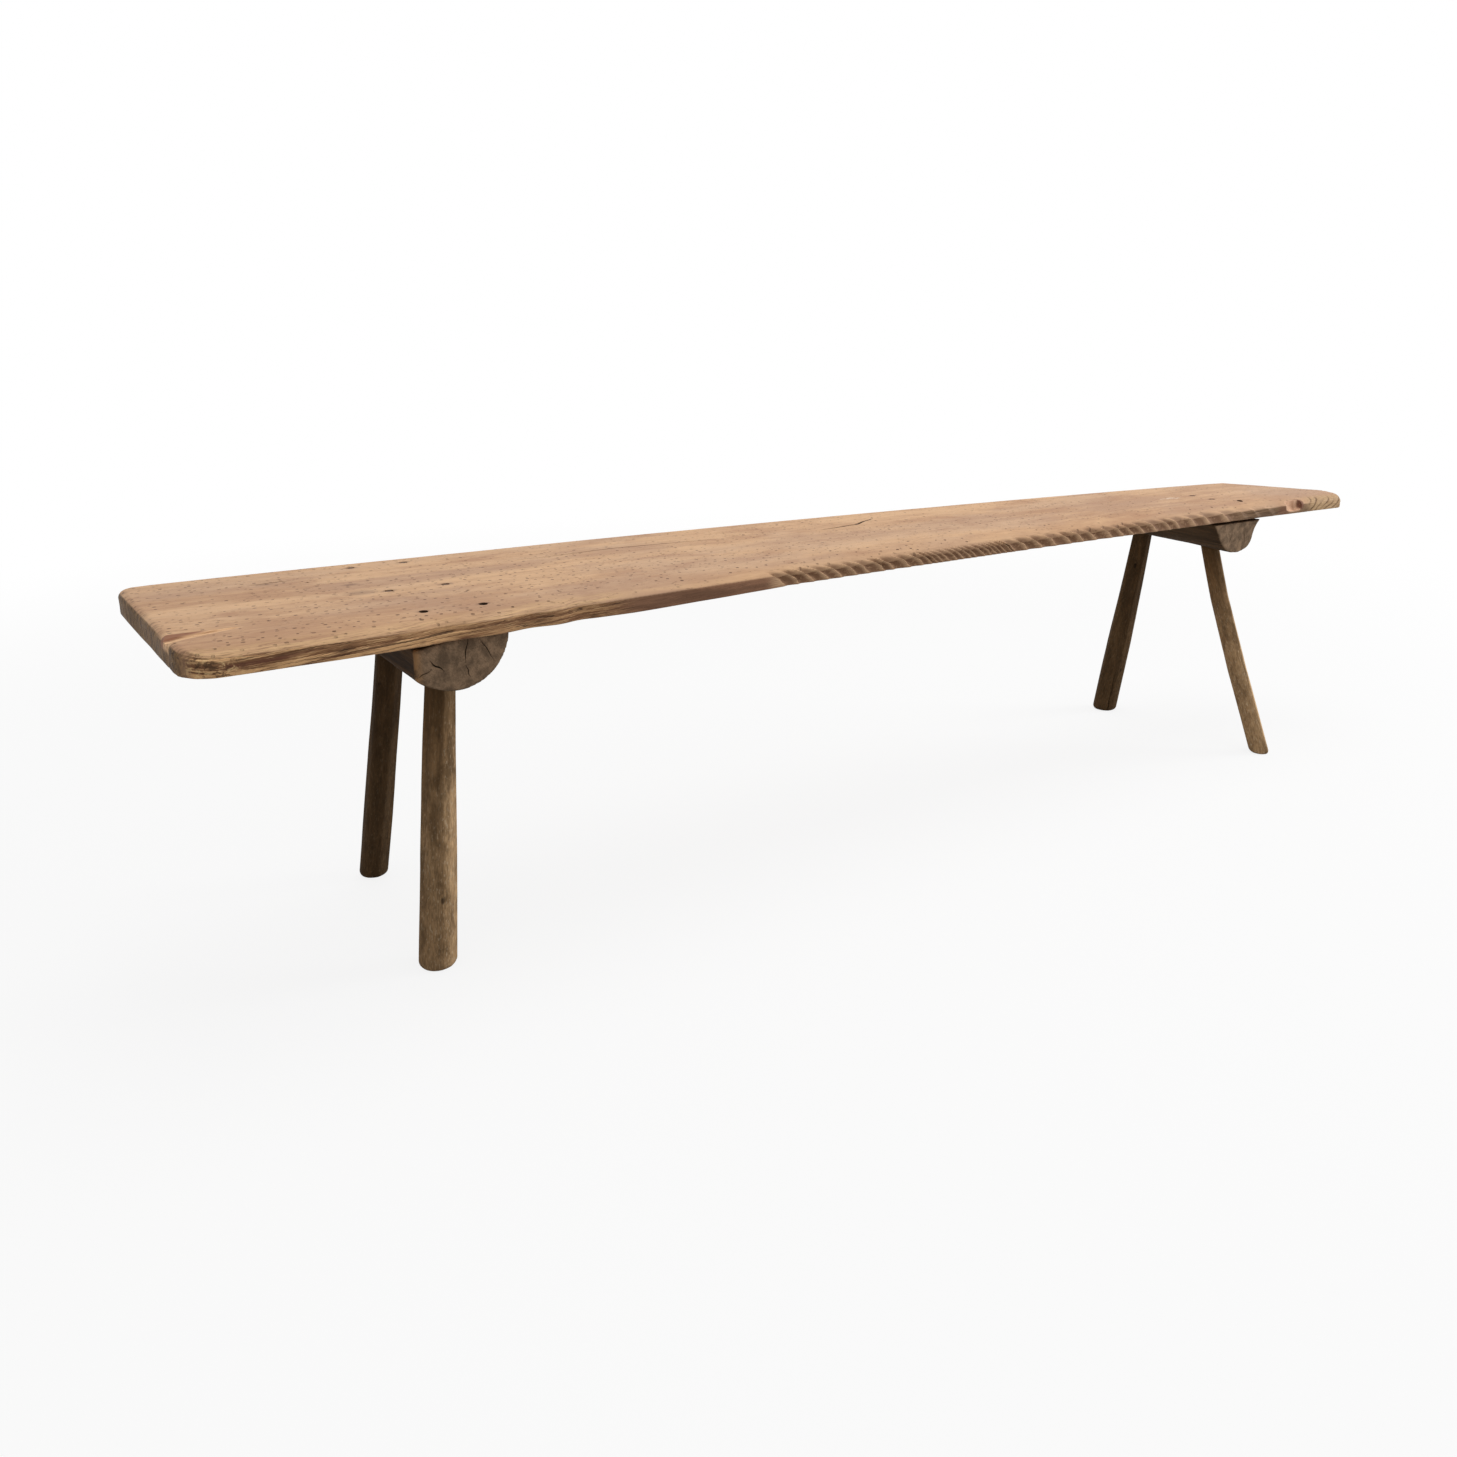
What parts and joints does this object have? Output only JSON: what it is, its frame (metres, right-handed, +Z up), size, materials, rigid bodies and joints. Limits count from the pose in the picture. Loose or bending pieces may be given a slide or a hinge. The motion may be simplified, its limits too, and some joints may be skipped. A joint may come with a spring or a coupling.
{
  "type": "rustic plank bench",
  "caption": "Long rustic wooden bench: a tapering hewn plank with a worn, scalloped front edge, nailed on half-log bearers that stand on splayed round legs.",
  "frame": {"origin": "middle of the bench's box at floor level, under the seat", "axes": "+X along the seat towards its narrow end, -Y towards the front with the worn edge, +Z up"},
  "size_m": [2.0739, 0.427, 0.46],
  "materials": {
    "seat_timber": "bare, weathered and worn",
    "bearer_timber": "bare, split and weathered",
    "leg_timber": "bare, shaved and weathered",
    "wedge_timber": "bare, split",
    "nail_iron": "forged, rusted dark"
  },
  "bodies": {
    "root": {"seat_plank": "seat_timber", "left_bearer": "bearer_timber", "right_bearer": "bearer_timber", "left_bearer_nails": "nail_iron", "right_bearer_nails": "nail_iron", "front_left_leg": "leg_timber", "back_left_leg": "leg_timber", "front_right_leg": "leg_timber", "back_right_leg": "leg_timber", "front_left_wedge": "wedge_timber", "back_left_wedge": "wedge_timber", "front_right_wedge": "wedge_timber", "back_right_wedge": "wedge_timber"}
  },
  "joints": []
}
